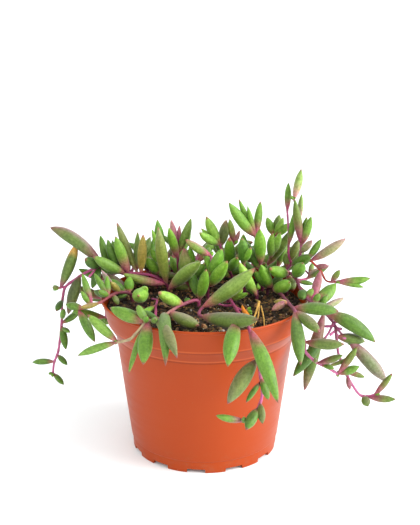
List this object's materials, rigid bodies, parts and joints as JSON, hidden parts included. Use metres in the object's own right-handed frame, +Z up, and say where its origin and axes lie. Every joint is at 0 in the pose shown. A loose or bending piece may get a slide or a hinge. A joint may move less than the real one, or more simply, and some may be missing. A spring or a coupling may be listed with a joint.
{
  "type": "potted trailing succulent",
  "caption": "Trailing succulent with spindle-shaped fleshy leaves on slender magenta stems, spilling over the rim of a tapered terracotta-coloured nursery pot.",
  "frame": {"origin": "on the pot's axis, at the level of the surface that the pot's foot stands on", "axes": "+Z up along the pot's axis, +X to the viewer's right, towards the longer trailing stems at the right, +Y away from the viewer, so the front is -Y"},
  "size_m": [0.214, 0.1717, 0.164],
  "materials": {
    "terracotta_plastic": "satin moulded plastic, terracotta orange",
    "potting_soil": "damp peat and bark, crumbly and matt",
    "succulent_foliage": "waxy green leaves with purple flushes, magenta stems"
  },
  "bodies": {
    "root": {"pot": "terracotta_plastic", "potting_soil": "potting_soil", "spray_back_1": "succulent_foliage", "spray_back_2": "succulent_foliage", "spray_back_3": "succulent_foliage", "spray_back_4": "succulent_foliage", "spray_back_5": "succulent_foliage", "spray_back_6": "succulent_foliage", "spray_back_7": "succulent_foliage", "spray_centre": "succulent_foliage", "spray_centre_left": "succulent_foliage", "spray_centre_right": "succulent_foliage", "spray_far_corner": "succulent_foliage", "spray_far_left": "succulent_foliage", "spray_far_middle": "succulent_foliage", "spray_far_right": "succulent_foliage", "spray_front_left": "succulent_foliage", "spray_front_middle": "succulent_foliage", "spray_front_right": "succulent_foliage", "spray_left_middle": "succulent_foliage", "spray_left_rim": "succulent_foliage", "spray_left_trailing": "succulent_foliage", "spray_left_upright": "succulent_foliage", "spray_low_middle": "succulent_foliage", "spray_low_right": "succulent_foliage", "spray_middle_left": "succulent_foliage", "spray_right_crown": "succulent_foliage", "spray_right_hanging": "succulent_foliage", "spray_right_trailing": "succulent_foliage"}
  },
  "joints": []
}
